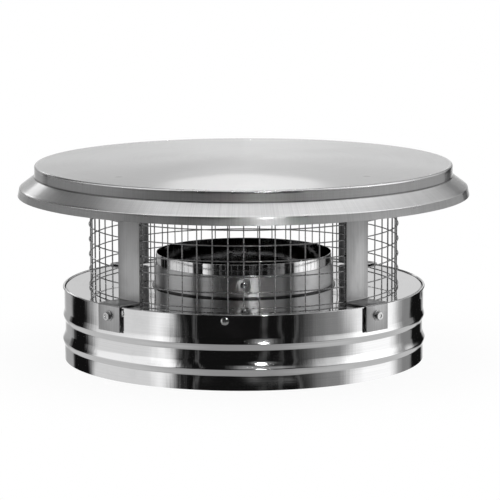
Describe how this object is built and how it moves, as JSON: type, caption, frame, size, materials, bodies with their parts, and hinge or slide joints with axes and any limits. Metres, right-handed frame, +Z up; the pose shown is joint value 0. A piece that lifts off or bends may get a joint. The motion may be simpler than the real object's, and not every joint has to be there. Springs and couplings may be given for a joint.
{
  "type": "chimney cap",
  "caption": "Round stainless chimney cap: shallow domed lid on strap legs, wire screen, beaded casing with a flue collar in its top plate.",
  "frame": {"origin": "on the cap's axis, in the plane of the casing's bottom edge", "axes": "+Z up along the axis; -Y is the front that the picture shows; +X is to its right"},
  "size_m": [0.3802, 0.3802, 0.1695],
  "materials": {
    "lid_steel": "satin spun stainless",
    "strap_steel": "satin stainless strip",
    "casing_steel": "mirror stainless, rolled",
    "plate_steel": "mirror stainless",
    "liner_steel": "mirror stainless",
    "sleeve_steel": "bright rolled stainless",
    "screen_wire": "drawn stainless wire",
    "screw_steel": "bright zinc",
    "rivet_steel": "bright stainless"
  },
  "bodies": {
    "root": {"lid": "lid_steel", "leg_front_left": "strap_steel", "leg_front_right": "strap_steel", "leg_rear_right": "strap_steel", "leg_rear_left": "strap_steel", "leg_screw_front_left": "screw_steel", "leg_screw_front_right": "screw_steel", "leg_screw_rear_right": "screw_steel", "leg_screw_rear_left": "screw_steel", "outer_casing": "casing_steel", "top_plate": "plate_steel", "flue_liner": "liner_steel", "collar_sleeve": "sleeve_steel", "screen_uprights": "screen_wire", "screen_hoops": "screen_wire", "casing_rivet_seam": "rivet_steel", "casing_rivet_front": "rivet_steel", "casing_rivet_right": "rivet_steel", "casing_rivet_rear": "rivet_steel", "casing_rivet_left": "rivet_steel", "collar_rivet_lap": "rivet_steel", "collar_rivet_rear_a": "rivet_steel", "collar_rivet_rear_b": "rivet_steel"}
  },
  "joints": []
}
